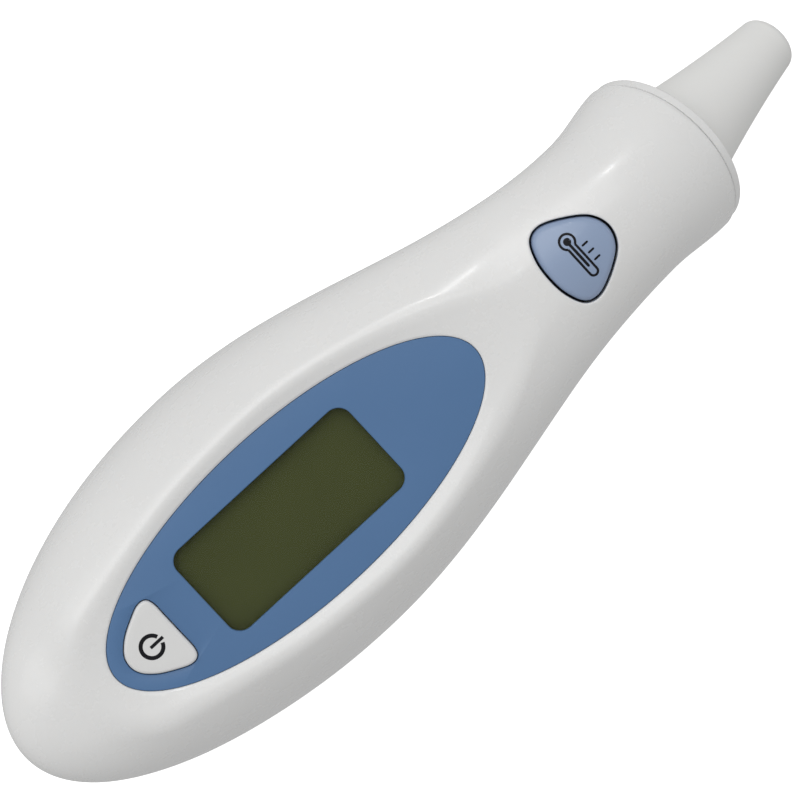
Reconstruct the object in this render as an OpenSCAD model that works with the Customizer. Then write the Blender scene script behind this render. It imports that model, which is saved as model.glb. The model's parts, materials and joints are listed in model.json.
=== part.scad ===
// Infrared ear thermometer: a pebble-shaped handle with an oval display, a neck that bends back
// into a round head, and a probe cone. Lengths are millimetres.
// The frame: +X runs from the tail to the probe, +Y to the left of the display, +Z out of the
// display. The thermometer lies on the flat of its back, and z = 0 is that flat.

/* [Body] */
// Width of the handle where it is widest
body_w = 45.6; // [44:0.2:46]
// Tail end to the widest place of the handle
tail_l = 47.8; // [47:0.5:49]
// Wall of both shells
wall = 2; // [1.6:0.1:2.2]
// Height of the display face above the flat of the back
display_z = 33.3; // [32.8:0.1:33.8]
// Half width of the neck where it is narrowest
neck_r = 12.2; // [12:0.1:12.4]
// Radius of the round rim of the head
rim_r = 13.2; // [13.1:0.1:13.4]
// Angle that the head bends back by
head_tilt = 30; // [28:0.5:31]

/* [Display] */
// Half length of the oval panel
panel_a = 33.7; // [33.2:0.1:34.2]
// Half width of the oval panel
panel_b = 12.4; // [12.1:0.1:12.6]
// Length of the display window
window_l = 32.4; // [31.6:0.1:32.8]
// Width of the display window
window_w = 14.8; // [14.2:0.1:15]
// Corner radius of the display window
window_r = 2.2; // [1.5:0.1:3]
// Middle of the window along X, from the middle of the panel
window_x = -1.2; // [-1.3:0.1:-0.8]

/* [Buttons] */
// Travel of the test button and of the power button
press = 0.4; // [0.2:0.1:0.5]
// Middle of the test button along X, from the middle of the panel
test_x = 53; // [52.8:0.1:53.4]
// Middle of the power button along X, from the middle of the panel
power_x = -26.5; // [-26.8:0.1:-26.4]

/* [Probe] */
// Length of the probe in front of the rim
probe_l = 26.4; // [25:0.2:27]
// Radius of the probe where its tip starts to round
tip_r = 4.4; // [4.2:0.1:4.5]
// Radius of the probe where it leaves the head
probe_base_r = 8.6; // [8.4:0.1:8.6]

/* [Battery] */
// Diameter of the coin cell
cell_d = 20; // [20:0.1:20.2]
// Thickness of the coin cell
cell_h = 3.2; // [3:0.1:3.2]

/* [Hidden] */

// Everything below is laid out from the middle of the display panel, whose face is z = 0.
// The panel's middle in the part's frame, so that the origin is under the middle of the whole.
display_x = -22.58;

// --- the skin ------------------------------------------------------------------------------
// Stations u run along the handle's axis. Up to bend_u they are plain X, and past it they
// follow an arc of bend_r that turns by head_tilt, then a short straight stretch to the rim.
widest_u = -3;
waist_u = 61.5;
bend_u = 48.6;
bend_r = 41;
rim_straight = 2;
arc_end_u = bend_u + bend_r * head_tilt * PI / 180;
rim_u = arc_end_u + rim_straight;
// Height of the widest line of the body: low at the belly, higher at the neck and the tail.
belly_z = -15.7;
neck_z = -9.7;
tail_rise = 0.008;
tail_rise_from = -14;
// Crown of the front, measured up from the widest line, before the dish is cut into it. It comes
// down to the neck's by crown_end.
crown_h = 21.3;
neck_crown_h = 10.2;
crown_end = 47;
// Part of the crown that is lost just before the tail's end, and where that happens.
tail_drop = 0.13;
tail_drop_from = -32;
tail_drop_l = 9;
// How full the tail is, seen from the side, in front and at the back.
tail_front_power = 0.6;
tail_back_power = 0.55;
// Depth of the back, measured down from the display face. It comes up to the neck's between
// back_from and back_to.
back_z = -34.1;
neck_back_z = -23.4;
back_from = 10;
back_to = 50;
// The widest line rises between these stations.
axis_from = -6;
axis_to = 40;
// Section exponents of the handle in front and at the back; the neck is round.
front_power = 2.05;
back_power = 2.2;
round_from = 20;
round_to = 45;
// Angle below the widest line at which the two shells part.
part_angle = 10;
// The flat that the thermometer lies on.
flat_z = -display_z;
// The dish: its slope beside the panel, how much of that slope is lost towards the ends, and
// the place on the neck where the dish is over.
dish_slope = 4.5;
dish_fall = 3.6;
dish_fall_from = 22;
dish_fall_l = 30;
dish_end = 48.4;
// Front wall under the dish, thick enough for the panel's pocket and the ledge under it.
dish_floor = 3.2;

function clamp01(u) = max(0, min(1, u));
function ease(u) = let (c = clamp01(u)) c * c * (3 - 2 * c);
function mix(a, b, u) = a + (b - a) * u;
function swell(a, n) = sign(a) * pow(abs(a), 2 / n);

function tail_k(u, inset) = max(0, 1 - pow((widest_u - u) / (tail_l - inset), 2));
function half_w(u, inset) =
    u < widest_u ? (body_w / 2 - inset) * sqrt(tail_k(u, inset))
    : u < waist_u ? mix(body_w / 2, neck_r,
        (1 - cos(180 * (u - widest_u) / (waist_u - widest_u))) / 2) - inset
    : mix(neck_r, rim_r, ease((u - waist_u) / (rim_u - waist_u))) - inset;
function axis_z(u) =
    u < tail_rise_from ? belly_z + tail_rise * pow(u - tail_rise_from, 2)
    : mix(belly_z, neck_z, ease((u - axis_from) / (axis_to - axis_from)));
function front_h(u, inset) =
    u < widest_u ? (crown_h - inset) * pow(tail_k(u, inset), tail_front_power)
        * (1 - tail_drop * ease((tail_drop_from - u) / tail_drop_l))
    : u < bend_u ? mix(crown_h, neck_crown_h, ease(u / crown_end)) - inset
    : mix(neck_crown_h, rim_r, ease((u - bend_u) / (rim_u - bend_u))) - inset;
function back_h(u, inset) =
    u < widest_u ? (belly_z - back_z - inset) * pow(tail_k(u, inset), tail_back_power)
    : u < bend_u ? axis_z(u)
        - mix(back_z, neck_back_z, ease((u - back_from) / (back_to - back_from))) - inset
    : mix(neck_z - neck_back_z, rim_r, ease((u - bend_u) / (rim_u - bend_u))) - inset;
function turn(u) = u < bend_u ? 0 : min(head_tilt, (u - bend_u) / bend_r * 180 / PI);
function axis_point(u) =
    u < bend_u ? [u, axis_z(u)]
    : let (t = turn(u), s = max(0, u - arc_end_u))
      [bend_u + bend_r * sin(t) + s * cos(head_tilt),
       neck_z - bend_r * (1 - cos(t)) - s * sin(head_tilt)];

// The dish around the panel: level with the panel's edge, rising to the sides.
function oval(x, y) = sqrt(pow(x / panel_a, 2) + pow(y / panel_b, 2));
function dish_z(x, y) =
    max(0, oval(x, y) - 1) * (dish_slope - dish_fall * ease((abs(x) - dish_fall_from) / dish_fall_l));

// One point of the skin at station u and angle v, moved in by inset.
function skin_point(u, v, inset) =
    let (n = mix(sin(v) > 0 ? front_power : back_power, 2,
             ease((u - round_from) / (round_to - round_from))),
         y = half_w(u, inset) * swell(cos(v), n),
         h = (sin(v) > 0 ? front_h(u, inset) : back_h(u, inset)) * swell(sin(v), n),
         p = axis_point(u),
         x = p[0] + h * sin(turn(u)),
         z = p[1] + h * cos(turn(u)),
         cut = dish_z(x, y) - (inset > 0 ? dish_floor : 0))
    [x, y, x < dish_end ? max(flat_z + inset, min(z, cut)) : z];

tail_steps = 14;
body_steps = 21;
neck_steps = 12;
function stations(inset) = concat(
    [for (i = [1 : tail_steps]) widest_u - (tail_l - inset) * cos(90 * i / tail_steps)],
    [for (i = [1 : body_steps]) mix(widest_u, bend_u, i / body_steps)],
    [for (i = [1 : neck_steps]) mix(bend_u, rim_u, i / neck_steps)]);

// Two triangles for each cell of a grid of points, turned over on request.
function cells(first, rows, cols, over) = [
    for (i = [0 : rows - 2], j = [0 : cols - 2])
        let (a = first + i * cols + j, b = a + 1, c = a + cols, d = c + 1)
        each over ? [[a, b, c], [b, d, c]] : [[a, c, b], [b, c, d]]];
// Two triangles for each step of the strip between two rows of the same length.
function strip(p, q, count, step) = [
    for (k = [0 : count - 2])
        let (a = p + k * step, b = q + k * step)
        each [[a, a + step, b], [a + step, b + step, b]]];
function turned(faces) = [for (t = faces) [t[0], t[2], t[1]]];

// One half of the body as a closed wall: outer skin, inner skin, and the faces that join
// them along the parting line and at the rim.
module half_shell(from_v, to_v, steps) {
    cols = steps + 1;
    rows = tail_steps + body_steps + neck_steps;
    turns = [for (j = [0 : steps]) mix(from_v, to_v, j / steps)];
    outer = [for (u = stations(0), v = turns) skin_point(u, v, 0)];
    inner = [for (u = stations(wall), v = turns) skin_point(u, v, wall)];
    tail_u = widest_u - tail_l;
    tips = [[tail_u, 0, axis_z(tail_u)], [tail_u + wall, 0, axis_z(tail_u + wall)]];
    base = rows * cols;
    tip = 2 * base;
    last = (rows - 1) * cols;
    polyhedron(concat(outer, inner, tips), concat(
        cells(0, rows, cols, false),
        cells(base, rows, cols, true),
        [for (j = [0 : steps - 1]) [tip, j, j + 1]],
        [for (j = [0 : steps - 1]) [tip + 1, base + j + 1, base + j]],
        turned(strip(last, base + last, cols, 1)),
        turned(strip(0, base, rows, cols)),
        strip(steps, base + steps, rows, cols),
        [[tip, base, 0], [tip, tip + 1, base],
         [tip, steps, base + steps], [tip, base + steps, tip + 1]]));
}

// --- helpers -------------------------------------------------------------------------------
rim_x = axis_point(rim_u)[0];
rim_z = axis_point(rim_u)[1];
// The probe stands this much nearer to the display side than the middle of the rim.
probe_shift = 1.2;
fine = 72;
coarse = 32;
oval_steps = 96;
// How far a cutting shape runs past the face that it opens.
past = 1;
// Levels beyond the outside of the front and of the back.
above = 6;
below = -36;

module placed() translate([display_x, 0, display_z]) children();
// A frame on the rim: +Z leaves the head, -X is the display side.
module on_rim() translate([rim_x, 0, rim_z]) rotate([0, 90 + head_tilt, 0]) children();
module on_probe() on_rim() translate([-probe_shift, 0, 0]) children();
module disc(r, from_z, to_z) translate([0, 0, from_z]) cylinder(r = r, h = to_z - from_z, $fn = fine);
module ring(outer, inner, from_z, to_z) difference() {
    disc(outer, from_z, to_z);
    disc(inner, from_z - past, to_z + past);
}
module plate(l, w, r, from_z, to_z) translate([0, 0, from_z]) linear_extrude(to_z - from_z) {
    square([l - 2 * r, w], center = true);
    square([l, w - 2 * r], center = true);
    for (x = [-1, 1], y = [-1, 1])
        translate([x * (l / 2 - r), y * (w / 2 - r)]) circle(r = r, $fn = coarse);
}
module block(l, w, from_z, to_z)
    translate([-l / 2, -w / 2, from_z]) cube([l, w, to_z - from_z]);
module oval_plate(a, b, from_z, to_z) translate([0, 0, from_z]) linear_extrude(to_z - from_z)
    polygon([for (i = [0 : oval_steps - 1])
        [a * cos(360 * i / oval_steps), b * sin(360 * i / oval_steps)]]);

// A closed smooth curve through points, four steps from one point to the next.
function between(a, b, c, d, t) = 0.5 * (2 * b + (c - a) * t
    + (2 * a - 5 * b + 4 * c - d) * t * t + (3 * b - a - 3 * c + d) * t * t * t);
function smooth_loop(p) = let (n = len(p)) [
    for (i = [0 : n - 1], t = [0 : 0.25 : 0.75])
        between(p[(i + n - 1) % n], p[i], p[(i + 1) % n], p[(i + 2) % n], t)];
function mirrored(half) = concat(half,
    [for (i = [len(half) - 2 : -1 : 1]) [half[i][0], -half[i][1]]]);
function grown(p, g) = [for (q = p) q * (1 + g / norm(q))];
module outline(half, g, from_z, to_z) translate([0, 0, from_z]) linear_extrude(to_z - from_z)
    polygon(smooth_loop(grown(mirrored(half), g)));

// --- layout --------------------------------------------------------------------------------
// Play between two parts that are put together.
play = 0.1;

// The panel lies in a pocket of the front shell, on a ledge around an oval opening.
panel_top = -0.15;
pocket_z = -1.75;
ledge_x = 1.8;
ledge_y = 1.2;
opening_depth = 5;
// The lens is let into the panel from behind.
lens_top = -0.95;
lens_grow = 1.7;

// The display is a stack of film, glass, glass and film; the front glass is wider than the
// rear one by the ledge that carries its contacts.
glass_l = 35.2;
glass_w = 16.8;
glass_t = 0.7;
glass_top = -2;
film_t = 0.2;
film_edge = 0.4;
film_end = 0.5;
contact_ledge = 2.6;
stack_end = glass_top - 2 * glass_t - film_t;
frame_l = 39;
frame_w = 20.4;
frame_play = 0.2;
frame_lip = 1;
frame_lip_z = -4.6;

// The circuit board.
pcb_top = -8;
pcb_t = 1.2;
pcb_under = pcb_top - pcb_t;
pcb_tail_x = -36;
pcb_wide_x = 24.5;
pcb_neck_x = 27;
pcb_end_x = 60;
pcb_half = 13;
pcb_neck_half = 6;
pcb_holes = [[-22.8, 10.6], [-22.8, -10.6], [21.8, 10.6], [21.8, -10.6]];
pcb_hole_r = 1.1;
pcb_post_r = 1.9;
pcb_screw_r = 0.8;
pcb_head_r = 1.6;
pcb_head_h = 1;
pcb_screw_end = -5;

// Half outlines, from the tail side to the probe side, about each button's middle.
test_half = [[-5.4, 0], [-5.05, 3.2], [-3.75, 5.9], [-1.4, 6.55], [1.9, 5.15], [4.9, 2.9], [5.95, 0]];
power_half = [[-4.65, 0], [-4.15, 1.7], [-2.5, 3.35], [-0.35, 4.6], [1.7, 5.5], [3.05, 5.35],
    [3.6, 4.2], [3.64, 2.1], [3.64, 0]];
// Gap around each button, and the flange that keeps it from coming out.
test_gap = 0.35;
power_gap = 0.15;
flange_grow = 0.6;
flange_t = 0.8;
// The test button: a shell whose top curves less along the neck than across it.
dome_top = 0.85;
dome_long_r = 30;
dome_cross_r = 13;
button_wall = 1.2;
skirt_end = -6.1;
skirt_roof = -3.4;
seal_top = -3.7;
seal_end = -5.8;
seal_play = 0.08;
seal_squeeze = 0.02;
// The power button: a flat cap that stands proud of the panel.
power_top = 0.45;
power_end = -2.6;
stem_r = 1.3;
stem_end = -5;
// The switches under the buttons, whose plungers are pushed by the stems.
switch_size = 4.8;
switch_top = -5.6;
plunger_r = 1.6;
plunger_root = 0.35;
plunger_top = stem_end - play;

// The coin cell, its well in the rear shell and the round cover over it.
cell_x = -8;
cell_z = -31;
cell_top = cell_z + cell_h;
cover_r = 12.4;
cover_gap = 0.2;
cover_top = -31.1;
cover_seat_r = 12.9;
cover_seat_z = -31.25;
cover_seat_top = -30;
well_r = cell_d / 2 + 0.25;
well_wall = 1.2;
well_top = -27.2;
roof_top = -26;
tab_at = 11.8;
tab_w = 3;
tab_t = 0.8;
tab_top = -29.7;
tab_play = 0.4;
finger_hole_r = 0.6;
finger_hole_in = 3;
notch_l = 1.4;
notch_w = 5;
notch_z = -31.9;
cap_disc_r = 8.8;
gasket_r = 9.2;
can_floor = 0.3;
can_rim_drop = 0.3;

// Spring contacts of sheet metal between the cell and the board.
sheet = 0.2;
plus_w = 5;
plus_foot = 4;
plus_slot = 1.2;
plus_end = -30.8;
minus_w = 3;
minus_pad_r = 1.5;
minus_hole = 3.4;
minus_foot_x = 3;

// The buzzer lies in a recess in the floor of the rear shell.
buzzer_x = 14;
buzzer_r = 6.5;
buzzer_z = -29.6;
buzzer_t = 0.25;
ceramic_r = 4.8;
buzzer_seat_r = 6.9;
buzzer_seat_z = -31.6;
buzzer_hollow_r = 5.9;
buzzer_hollow_z = -31.3;

// Three screws join the shells, from the back.
case_holes = [[-40.5, 0], [29, 10.5], [29, -10.5]];
boss_split = -12;
boss_roof = -2.6;
hole_roof = -4;
boss_r = 2.6;
sleeve_r = 2.9;
head_seat = -16;
screw_r = 1;
screw_fit = 0.03;
screw_end = -6;
shank_hole_r = 1.25;
head_r = 1.9;
head_h = 1.3;
head_hole_r = 2.15;

module at_cell() translate([cell_x, 0, 0]) children();
module at_test() translate([test_x, 0, 0]) children();
module at_power() translate([power_x, 0, 0]) children();
module at_window() translate([window_x, 0, 0]) children();
module at_buzzer() translate([buzzer_x, 0, 0]) children();
module at_each(places) for (p = places) translate([p[0], p[1], 0]) children();

// --- shells --------------------------------------------------------------------------------
front_steps = 36;
rear_steps = 24;
module front_shell() color([0.93, 0.93, 0.92]) placed() difference() {
    union() {
        half_shell(-part_angle, 180 + part_angle, front_steps);
        at_each(case_holes) disc(boss_r, boss_split, boss_roof);
        at_each(pcb_holes) disc(pcb_post_r, pcb_top, boss_roof);
    }
    oval_plate(panel_a + play, panel_b + play, pocket_z, above);
    oval_plate(panel_a - ledge_x, panel_b - ledge_y, pocket_z - opening_depth, pocket_z + past);
    at_power() outline(power_half, flange_grow + 0.5, pocket_z - opening_depth, pocket_z + past);
    at_test() outline(test_half, 0, pcb_top, above);
    at_each(case_holes) disc(screw_r + screw_fit, boss_split - past, hole_roof);
    at_each(pcb_holes) disc(pcb_screw_r + screw_fit, pcb_top - past, hole_roof);
}

// Height of the back over a point of the handle, before the neck bends.
function back_skin(x, y) = let (n = mix(back_power, 2, ease((x - round_from) / (round_to - round_from))))
    axis_z(x) - back_h(x, 0) * pow(1 - pow(abs(y) / half_w(x, 0), n), 1 / n);
// A post around a screw of the case, whose foot follows the back inside its wall.
module sleeve(p) {
    turns = [for (i = [0 : fine - 1]) 360 * i / fine];
    spots = concat([for (a = turns) [p[0] + sleeve_r * cos(a), p[1] + sleeve_r * sin(a)]], [p]);
    foot = [for (q = spots) [q[0], q[1], back_skin(q[0], q[1]) + wall / 2]];
    head = [for (q = spots) [q[0], q[1], boss_split]];
    up = len(spots);
    polyhedron(concat(foot, head), [for (i = [0 : fine - 1]) let (j = (i + 1) % fine)
        each [[fine, i, j], [up + fine, up + j, up + i], [i, up + i, up + j], [i, up + j, j]]]);
}

module rear_shell() color([0.93, 0.93, 0.92]) placed() difference() {
    union() {
        half_shell(180 + part_angle, 360 - part_angle, rear_steps);
        for (p = case_holes) sleeve(p);
        at_cell() {
            disc(cover_seat_r, cover_seat_z, cover_seat_top);
            disc(well_r + well_wall, cell_z, roof_top);
        }
        at_buzzer() disc(buzzer_seat_r, buzzer_seat_z, buzzer_z);
    }
    at_cell() disc(cover_r + cover_gap, below, cover_top);
    at_cell() disc(well_r, below, well_top);
    at_cell() block(minus_hole, minus_hole, well_top - past, roof_top + past);
    translate([cell_x + cell_d / 2 - play, 0, 0])
        block(plus_slot, plus_w + 0.6, cover_top, roof_top + 2 * past);
    at_cell() for (s = [-1, 1]) translate([s * tab_at, 0, 0])
        block(tab_t + tab_play, tab_w + 0.6, cover_top - past, tab_top + 0.3);
    at_buzzer() disc(buzzer_hollow_r, buzzer_hollow_z, buzzer_z + past);
    at_each(case_holes) disc(shank_hole_r, cover_seat_top, boss_split + past);
    at_each(case_holes) disc(head_hole_r, below, head_seat);
}

// A patch of the back, flat inside, that the cover is cut from.
patch_rows = 15;
patch_cols = 19;
patch_past = 1.2;
patch_from_v = 222;
patch_to_v = 318;
module back_patch(top_z) {
    patch_half = cover_r + patch_past;
    us = [for (i = [0 : patch_rows - 1]) cell_x + mix(-patch_half, patch_half, i / (patch_rows - 1))];
    vs = [for (j = [0 : patch_cols - 1]) mix(patch_from_v, patch_to_v, j / (patch_cols - 1))];
    outer = [for (u = us, v = vs) skin_point(u, v, 0)];
    inner = [for (p = outer) [p[0], p[1], top_z]];
    base = patch_rows * patch_cols;
    last = base - patch_cols;
    polyhedron(concat(outer, inner), concat(
        cells(0, patch_rows, patch_cols, false),
        cells(base, patch_rows, patch_cols, true),
        turned(strip(last, base + last, patch_cols, 1)),
        strip(0, base, patch_cols, 1),
        turned(strip(0, base, patch_rows, patch_cols)),
        strip(patch_cols - 1, base + patch_cols - 1, patch_rows, patch_cols)));
}
module battery_cover() color([0.93, 0.93, 0.92]) placed() at_cell() difference() {
    union() {
        intersection() {
            translate([-cell_x, 0, 0]) back_patch(cover_top);
            disc(cover_r, below, cover_top + past);
        }
        for (s = [-1, 1]) translate([s * tab_at, 0, 0]) block(tab_t, tab_w, cover_top - play, tab_top);
    }
    translate([finger_hole_in - cover_r, 0, 0]) disc(finger_hole_r, below, cover_seat_top);
    translate([-cover_r, 0, 0]) block(notch_l, notch_w, below, notch_z);
}

// --- head ----------------------------------------------------------------------------------
// Heights here are measured from the rim, along the way the probe points.
cap_r = rim_r - 0.25;
cap_from = 0.15;
// Underside of the cap's face, which the probe's seal bears on.
cap_roof = 0.55;
cap_face = 1.55;
cap_round = 0.4;
cap_rib_r = 10.75;
cap_rib_end = -2;
cap_fit_r = rim_r - wall - play;
flange_z = 0.25;
flange_r = probe_base_r + 0.65;
foot_end = -1;
tip_round = 1.6;
tip_from = probe_l - tip_round;
tip_flat_in = 1.4;
probe_wall = 1;
probe_steps = 12;
bore_r = 2.6;
window_seat_r = 3;
window_seat = 0.7;
window_t = 0.23;
// Share of the probe's taper that is a curve.
flare = 0.28;

// Radius of the probe at a height: a cone that flares out at its foot.
function probe_r(h) = let (k = (tip_from - h) / (tip_from - cap_face))
    tip_r + (probe_base_r - tip_r) * ((1 - flare) * k + flare * k * k);
function probe_line(from_h, to_h, in) = [
    for (i = [0 : probe_steps])
        let (h = mix(from_h, to_h, i / probe_steps)) [probe_r(h) - in, h]];

module head_cap() color([0.93, 0.93, 0.92]) placed() difference() {
    on_rim() rotate_extrude($fn = fine) polygon([[0, cap_roof],
        [cap_rib_r, cap_roof], [cap_rib_r, cap_rib_end], [cap_fit_r, cap_rib_end],
        [cap_fit_r, cap_from], [cap_r, cap_from], [cap_r, cap_face - cap_round],
        [cap_r - 0.3 * cap_round, cap_face - 0.3 * cap_round], [cap_r - cap_round, cap_face],
        [0, cap_face]]);
    on_probe() disc(probe_base_r + 0.15, foot_end, cap_face + past);
}

module probe_cone() color([0.86, 0.86, 0.85]) placed() on_probe() rotate_extrude($fn = fine)
    polygon(concat(
        [[flange_r, foot_end], [flange_r, flange_z], [probe_base_r + 0.03, flange_z]],
        probe_line(cap_face, tip_from, 0),
        [for (a = [15 : 15 : 90])
            [tip_r - tip_flat_in * (1 - cos(a)), tip_from + tip_round * sin(a)]],
        [[bore_r, probe_l], [bore_r, probe_l - window_seat], [window_seat_r, probe_l - window_seat]],
        probe_line(tip_from - probe_wall, 2 * probe_wall, probe_wall),
        [[probe_base_r - 1.3 * probe_wall, foot_end]]));

module probe_seal() color([0.15, 0.15, 0.16]) placed() on_probe()
    ring(flange_r, probe_base_r + 0.2, flange_z, cap_roof);

module probe_window() color([0.6, 0.65, 0.7, 0.6]) placed() on_probe()
    disc(window_seat_r - 0.05, probe_l - window_seat - window_t, probe_l - window_seat - 0.02);

// The sensor: a can on four pins in a metal holder, behind a gilt tube that leads to the tip.
guide_r = 2.5;
guide_bore_r = 2.1;
guide_end = 9.9;
holder_r = 4.4;
holder_foot_r = 6;
holder_from = 4.2;
holder_foot = 5.4;
holder_to = 13;
can_r = 2.65;
can_brim_r = 2.85;
can_from = 6.4;
can_brim = 6.9;
can_top = 9.8;
can_window_r = 1.25;
pin_ring_r = 1.27;
pin_r = 0.22;
pin_end = 2.6;
flex_pad_r = 3.4;
flex_at = 2.8;
flex_t = 0.2;
flex_w = 4;

module waveguide() color([0.85, 0.68, 0.3]) placed() on_probe()
    ring(guide_r, guide_bore_r, guide_end, probe_l - probe_wall);

module sensor_holder() color([0.75, 0.76, 0.78]) placed() on_probe() difference() {
    union() {
        disc(holder_r, holder_from, holder_to);
        disc(holder_foot_r, holder_from, holder_foot);
    }
    disc(can_brim_r + 0.05, holder_from - past, guide_end - 0.05);
    disc(guide_r + 0.02, can_brim, holder_to + past);
}

module sensor_can() color([0.8, 0.78, 0.7]) placed() on_probe() difference() {
    union() {
        disc(can_brim_r, can_from, can_brim);
        disc(can_r, can_brim, can_top);
    }
    disc(can_window_r, can_top - 0.3, can_top + past);
}

module at_pins() for (a = [45 : 90 : 315]) rotate(a) translate([pin_ring_r, 0, 0]) children();
module sensor_pins() color([0.85, 0.7, 0.35]) placed() on_probe()
    at_pins() disc(pin_r, pin_end, can_from);

// A point of the XZ plane, r towards the display side and h in front of the rim.
function by_rim(r, h) = [rim_x + h * cos(head_tilt) + r * sin(head_tilt),
    rim_z - h * sin(head_tilt) + r * cos(head_tilt)];
// The flexible strip from the sensor's pins back to the circuit board.
flex_path = [[pcb_end_x - 6, pcb_under], [pcb_end_x, pcb_under], [pcb_end_x + 3, pcb_under - 0.3],
    by_rim(holder_r, -4), by_rim(probe_shift + 3, flex_at + 0.15)];
module sensor_flex() color([0.8, 0.5, 0.2]) placed() difference() {
    union() {
        on_probe() disc(flex_pad_r, flex_at, flex_at + flex_t);
        rotate([90, 0, 0]) translate([0, 0, -flex_w / 2]) linear_extrude(flex_w) polygon(concat(
            flex_path, [for (i = [len(flex_path) - 1 : -1 : 0]) flex_path[i] - [0, flex_t]]));
    }
    on_probe() at_pins() disc(pin_r + 0.04, flex_at - past, flex_at + past);
}

// --- display -------------------------------------------------------------------------------
module display_panel() color([0.33, 0.46, 0.62]) placed() difference() {
    oval_plate(panel_a, panel_b, pocket_z, panel_top);
    at_window() plate(window_l, window_w, window_r, pocket_z - past, past);
    at_window() plate(window_l + lens_grow + play, window_w + lens_grow + play,
        window_r + lens_grow / 2, pocket_z - past, lens_top);
    at_power() outline(power_half, power_gap, pocket_z - past, past);
}

module display_lens() color([0.8, 0.85, 0.85, 0.4]) placed() at_window()
    plate(window_l + lens_grow, window_w + lens_grow, window_r + lens_grow / 2, pocket_z, lens_top);

module lcd_front_polariser() color([0.5, 0.53, 0.45, 0.6]) placed() at_window()
    block(glass_l - 2 * film_end, glass_w - 2 * film_edge, glass_top, glass_top + film_t);

module lcd_front_glass() color([0.75, 0.8, 0.75, 0.5]) placed() at_window()
    block(glass_l, glass_w, glass_top - glass_t, glass_top);

module by_contacts() at_window() translate([0, contact_ledge / 2, 0]) children();
module lcd_rear_glass() color([0.7, 0.76, 0.7, 0.5]) placed() by_contacts()
    block(glass_l, glass_w - contact_ledge, glass_top - 2 * glass_t, glass_top - glass_t);

module lcd_rear_polariser() color([0.36, 0.38, 0.25]) placed() by_contacts()
    block(glass_l - 2 * film_end, glass_w - contact_ledge - 2 * film_edge,
        stack_end, glass_top - 2 * glass_t);

module on_ledge() at_window() translate([0, (contact_ledge - glass_w) / 2, 0]) children();
module lcd_frame() color([0.9, 0.9, 0.9]) placed() difference() {
    at_window() block(frame_l, frame_w, pcb_top, -dish_floor - play);
    at_window() block(glass_l + 2 * frame_play, glass_w + 2 * frame_play, stack_end - 0.02, 0);
    by_contacts() block(glass_l - 3 * frame_lip, glass_w - contact_ledge - 2 * frame_lip,
        pcb_top - past, frame_lip_z);
    on_ledge() block(glass_l + 2 * frame_play, contact_ledge - play, pcb_top - past, 0);
}

module zebra_strip() color([0.25, 0.25, 0.27]) placed() on_ledge()
    block(glass_l - 2 * frame_lip, 1.9, pcb_top, glass_top - glass_t);

// --- circuit board -------------------------------------------------------------------------
module main_pcb() color([0.1, 0.4, 0.2]) placed() difference() {
    translate([0, 0, pcb_under]) linear_extrude(pcb_t) polygon([
        [pcb_tail_x, -6], [-33, -9.5], [-28, -12.2], [-21, -pcb_half], [pcb_wide_x, -pcb_half],
        [pcb_wide_x, -pcb_neck_half - 1], [pcb_neck_x, -pcb_neck_half], [pcb_end_x, -pcb_neck_half],
        [pcb_end_x, pcb_neck_half], [pcb_neck_x, pcb_neck_half], [pcb_wide_x, pcb_neck_half + 1],
        [pcb_wide_x, pcb_half], [-21, pcb_half], [-28, 12.2], [-33, 9.5], [pcb_tail_x, 6]]);
    at_each(pcb_holes) disc(pcb_hole_r, pcb_under - past, pcb_top + past);
}

chip_at = [14, 4.5];
chip_r = 5.5;
chip_h = 1.3;
module controller_chip() color([0.08, 0.08, 0.09]) placed() at_each([chip_at])
    disc(chip_r, pcb_under - chip_h, pcb_under);

memory_at = [-17, 0];
module memory_chip() color([0.1, 0.1, 0.11]) placed() at_each([memory_at])
    block(5, 4, pcb_under - 1.5, pcb_under);

smd_places = [[8, -6], [8, -9], [12, -6], [12, -9], [-12, 7], [-15, 7], [-18, 7], [38, 2], [38, -2],
    [42, 2], [42, -2], [32, 0]];
module smd_parts() color([0.55, 0.45, 0.35]) placed() at_each(smd_places)
    block(2, 1.2, pcb_under - 0.8, pcb_under);

crystal_at = [-14, -6];
crystal_r = 1.4;
crystal_l = 8;
module timing_crystal() color([0.75, 0.75, 0.77]) placed()
    translate([crystal_at[0], crystal_at[1], pcb_under - crystal_r])
        rotate([0, 90, 0]) cylinder(r = crystal_r, h = crystal_l, center = true, $fn = fine);

module buzzer_disc() color([0.8, 0.65, 0.3]) placed() at_buzzer()
    disc(buzzer_r, buzzer_z, buzzer_z + buzzer_t);

module buzzer_ceramic() color([0.92, 0.92, 0.9]) placed() at_buzzer()
    disc(ceramic_r, buzzer_z + buzzer_t, buzzer_z + 2 * buzzer_t);

// --- buttons -------------------------------------------------------------------------------
// The test button's top: the outside of a wide ring that stands on edge along the neck.
module dome() translate([0, 0, dome_top - dome_long_r]) rotate([90, 0, 0])
    rotate_extrude($fn = 2 * fine) intersection() {
        translate([dome_long_r - dome_cross_r, 0]) circle(r = dome_cross_r, $fn = 2 * fine);
        translate([0, -dome_cross_r]) square([dome_long_r, 2 * dome_cross_r]);
    }
module test_button() color([0.55, 0.63, 0.74]) placed() at_test() {
    difference() {
        intersection() {
            outline(test_half, -test_gap, skirt_end - flange_t, above);
            dome();
        }
        outline(test_half, -test_gap - button_wall, skirt_end - 2 * flange_t, skirt_roof);
    }
    disc(stem_r, stem_end, skirt_roof + play);
    difference() {
        outline(test_half, -test_gap + flange_grow, skirt_end - flange_t, skirt_end);
        outline(test_half, -test_gap - button_wall, skirt_end - 2 * flange_t, skirt_end + past);
    }
}

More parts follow.
